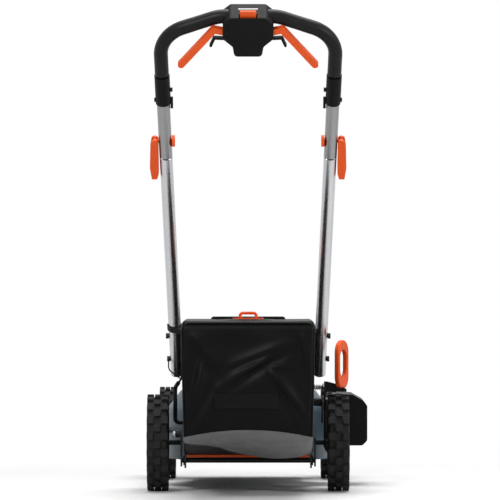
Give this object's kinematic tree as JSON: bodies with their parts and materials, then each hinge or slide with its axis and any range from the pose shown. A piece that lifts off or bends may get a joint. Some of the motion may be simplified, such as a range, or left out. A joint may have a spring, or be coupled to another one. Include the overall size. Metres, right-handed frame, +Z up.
{
  "type": "walk-behind rotary lawn mower",
  "caption": "Walk-behind rotary mower with a steel deck, knobby wheels, a soft rear grass bag, a side deflector and a folding handle with bail levers.",
  "frame": {"origin": "on the ground, under the middle of the overall box of the mower", "axes": "+X to the right of the person behind the mower, +Y forward, +Z up"},
  "size_m": [0.5314, 1.3466, 1.1281],
  "materials": {
    "tyre_rubber": "matte moulded rubber",
    "rim_plastic": "dark moulded plastic",
    "axle_steel": "black painted steel",
    "zinc_steel": "zinc plated steel",
    "deck_paint": "blue-grey powder coat",
    "orange_plastic": "orange moulded plastic",
    "black_plastic": "black moulded plastic",
    "motor_body": "cast housing",
    "battery_case": "moulded case",
    "blade_steel": "ground spring steel",
    "leg_tube": "satin tube",
    "bar_tube": "black coated tube",
    "foam_grip": "closed-cell foam",
    "bag_cloth": "black woven cloth",
    "bag_mesh": "grey mesh",
    "cable_rubber": "black cable",
    "spring_steel": "bright wire"
  },
  "bodies": {
    "deck": {"deck_shell": "deck_paint", "tunnel_mouth": "orange_plastic", "front_brackets": "zinc_steel", "axle_bushes": "black_plastic", "motor": "motor_body", "battery_pack": "battery_case", "motor_cover": "black_plastic", "chute_bracket": "axle_steel", "handle_brackets": "zinc_steel", "tube_saddles": "black_plastic", "tube_bolts": "axle_steel", "tube_end_plugs": "black_plastic", "lower_tube_left": "leg_tube", "lower_tube_right": "leg_tube", "fold_bolts": "orange_plastic", "height_sector": "axle_steel", "cable_conduit": "black_plastic", "power_cable": "cable_rubber", "earth_lead": "cable_rubber", "flap_spring": "spring_steel"},
    "upper_handle": {"upper_leg_left": "leg_tube", "upper_leg_right": "leg_tube", "handle_sleeves": "black_plastic", "sleeve_clamps": "black_plastic", "handle_bar": "bar_tube", "handle_grips": "foam_grip", "console_rear": "black_plastic", "console_front": "black_plastic", "lever_pins": "zinc_steel"},
    "cam_lever_left": {"cam_lever_left": "orange_plastic"},
    "cam_lever_right": {"cam_lever_right": "orange_plastic"},
    "bail_left": {"bail_left": "orange_plastic"},
    "bail_right": {"bail_right": "orange_plastic"},
    "lock_lever_left": {"lock_lever_left": "black_plastic"},
    "lock_lever_right": {"lock_lever_right": "black_plastic"},
    "speed_paddle": {"speed_paddle": "orange_plastic"},
    "rear_crank": {"rear_axle": "axle_steel", "height_lever": "black_plastic", "height_grip": "orange_plastic"},
    "front_crank": {"front_axle": "axle_steel"},
    "tie_rod": {"tie_rod": "axle_steel"},
    "wheel_rear_left": {"tyre_rear_left": "tyre_rubber", "rim_rear_left": "rim_plastic"},
    "wheel_rear_right": {"tyre_rear_right": "tyre_rubber", "rim_rear_right": "rim_plastic"},
    "wheel_front_left": {"tyre_front_left": "tyre_rubber", "rim_front_left": "rim_plastic"},
    "wheel_front_right": {"tyre_front_right": "tyre_rubber", "rim_front_right": "rim_plastic"},
    "blade": {"blade": "blade_steel", "blade_mount": "motor_body", "blade_bolt": "zinc_steel"},
    "side_deflector": {"side_deflector": "black_plastic"},
    "rear_flap": {"rear_flap": "black_plastic", "flap_rod": "axle_steel"},
    "grass_bag": {"bag_shell": "bag_cloth", "bag_floor": "bag_mesh", "bag_frame": "black_plastic", "bag_handle": "orange_plastic"},
    "battery_lid": {"battery_lid": "black_plastic"}
  },
  "joints": [
    {"name": "handle_fold", "type": "hinge", "parent": "deck", "child": "upper_handle", "pos_m": [-0.02475, -0.40112, 0.82672], "axis": [-1, 0, 0], "range_deg": [0, 140]},
    {"name": "cam_right", "type": "hinge", "parent": "deck", "child": "cam_lever_right", "pos_m": [0.18965, -0.40112, 0.82672], "axis": [0, -0.766, -0.6428], "range_deg": [0, 110]},
    {"name": "cam_left", "type": "hinge", "parent": "deck", "child": "cam_lever_left", "pos_m": [-0.23915, -0.40112, 0.82672], "axis": [0, 0.766, 0.6428], "range_deg": [0, 110]},
    {"name": "bail_right_squeeze", "type": "hinge", "parent": "upper_handle", "child": "bail_right", "pos_m": [0.02225, -0.63118, 1.06511], "axis": [0, -0.766, -0.6428], "range_deg": [0, 25], "stiffness_Nm_per_rad": 0.5, "springref_deg": -17.19},
    {"name": "bail_left_squeeze", "type": "hinge", "parent": "upper_handle", "child": "bail_left", "pos_m": [-0.07175, -0.63118, 1.06511], "axis": [0, 0.766, 0.6428], "range_deg": [0, 25], "stiffness_Nm_per_rad": 0.5, "springref_deg": -17.19},
    {"name": "lock_right_press", "type": "hinge", "parent": "upper_handle", "child": "lock_lever_right", "pos_m": [0.01825, -0.61961, 1.05132], "axis": [0, 0.766, 0.6428], "range_deg": [0, 12], "stiffness_Nm_per_rad": 0.1, "springref_deg": -17.19},
    {"name": "lock_left_press", "type": "hinge", "parent": "upper_handle", "child": "lock_lever_left", "pos_m": [-0.06775, -0.61961, 1.05132], "axis": [0, -0.766, -0.6428], "range_deg": [0, 12], "stiffness_Nm_per_rad": 0.1, "springref_deg": -17.19},
    {"name": "paddle_tilt", "type": "hinge", "parent": "upper_handle", "child": "speed_paddle", "pos_m": [-0.02475, -0.65322, 1.08904], "axis": [1, 0, 0], "range_deg": [-12, 12]},
    {"name": "height_set", "type": "hinge", "parent": "deck", "child": "rear_crank", "pos_m": [-0.02475, -0.02674, 0.074], "axis": [1, 0, 0], "range_deg": [-40, 15]},
    {"name": "front_height", "type": "hinge", "parent": "deck", "child": "front_crank", "pos_m": [-0.02475, 0.52326, 0.074], "axis": [1, 0, 0], "range_deg": [-40, 15]},
    {"name": "link_pivot", "type": "hinge", "parent": "rear_crank", "child": "tie_rod", "pos_m": [-0.19275, -0.02674, 0.136], "axis": [1, 0, 0], "range_deg": [-15, 40]},
    {"name": "spin_rear_left", "type": "hinge", "parent": "rear_crank", "child": "wheel_rear_left", "pos_m": [-0.24075, 0.00826, 0.115], "axis": [1, 0, 0], "continuous": true},
    {"name": "spin_rear_right", "type": "hinge", "parent": "rear_crank", "child": "wheel_rear_right", "pos_m": [0.19125, 0.00826, 0.115], "axis": [1, 0, 0], "continuous": true},
    {"name": "spin_front_left", "type": "hinge", "parent": "front_crank", "child": "wheel_front_left", "pos_m": [-0.228, 0.55826, 0.115], "axis": [1, 0, 0], "continuous": true},
    {"name": "spin_front_right", "type": "hinge", "parent": "front_crank", "child": "wheel_front_right", "pos_m": [0.1785, 0.55826, 0.115], "axis": [1, 0, 0], "continuous": true},
    {"name": "blade_spin", "type": "hinge", "parent": "deck", "child": "blade", "pos_m": [-0.02475, 0.28326, 0.082], "axis": [0, 0, 1], "continuous": true},
    {"name": "deflector_lift", "type": "hinge", "parent": "deck", "child": "side_deflector", "pos_m": [0.18625, 0.28326, 0.217], "axis": [0, -1, 0], "range_deg": [0, 70], "stiffness_Nm_per_rad": 0.3, "springref_deg": -34.38},
    {"name": "flap_lift", "type": "hinge", "parent": "deck", "child": "rear_flap", "pos_m": [-0.02475, -0.02174, 0.248], "axis": [-1, 0, 0], "range_deg": [0, 28], "stiffness_Nm_per_rad": 0.4, "springref_deg": -34.38, "deforming": ["flap_spring"]},
    {"name": "bag_off", "type": "slide", "parent": "deck", "child": "grass_bag", "axis": [0, -1, 0], "range_m": [0, 0.35]},
    {"name": "lid_open", "type": "hinge", "parent": "deck", "child": "battery_lid", "pos_m": [-0.02475, 0.34826, 0.377], "axis": [-1, 0, 0], "range_deg": [0, 75]}
  ],
  "couplings": [
    {"joint": "front_height", "follows": "height_set", "ratio": 1},
    {"joint": "link_pivot", "follows": "height_set", "ratio": -1}
  ]
}
